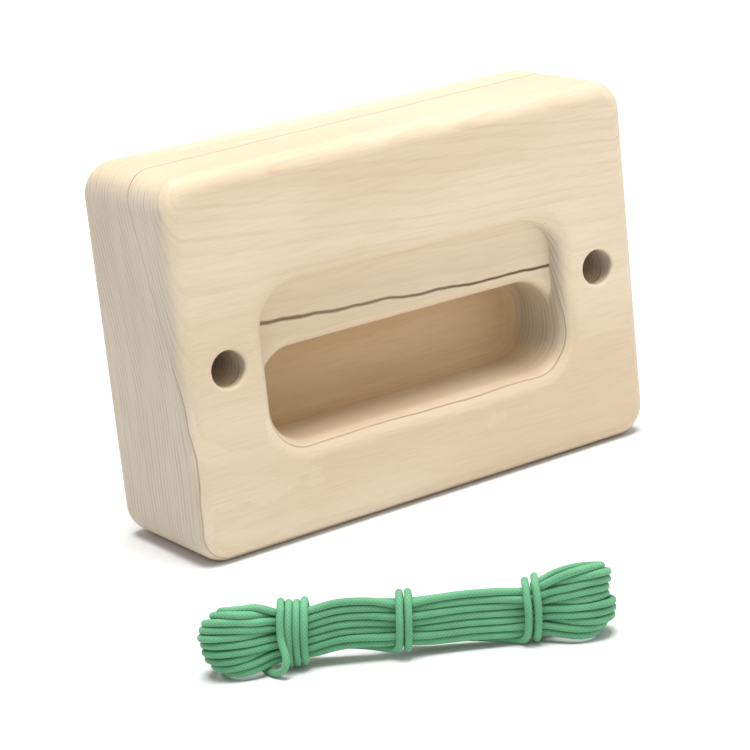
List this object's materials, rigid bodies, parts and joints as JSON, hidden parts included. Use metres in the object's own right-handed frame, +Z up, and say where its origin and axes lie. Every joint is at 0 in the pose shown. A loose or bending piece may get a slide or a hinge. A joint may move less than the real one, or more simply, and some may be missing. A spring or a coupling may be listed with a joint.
{
  "type": "finger training block",
  "caption": "Rounded maple block with a stepped finger pocket and a cord hole through each end, with its hanging cord wound up beside it.",
  "frame": {"origin": "middle of the block's bottom face, on the surface it stands on", "axes": "+X along the block, +Z up, the pocket opens towards -Y"},
  "size_m": [0.1885, 0.1616, 0.104],
  "materials": {
    "maple": "sanded, oiled",
    "cord": "braided"
  },
  "bodies": {
    "block": {"block": "maple"},
    "cord": {"cord_hank": "cord", "tie_left": "cord", "tie_middle": "cord", "tie_right": "cord"}
  },
  "joints": [
    {"name": "cord_lift", "type": "slide", "parent": "block", "child": "cord", "axis": [0, 0, 1], "range_m": [0, 0.12]}
  ]
}
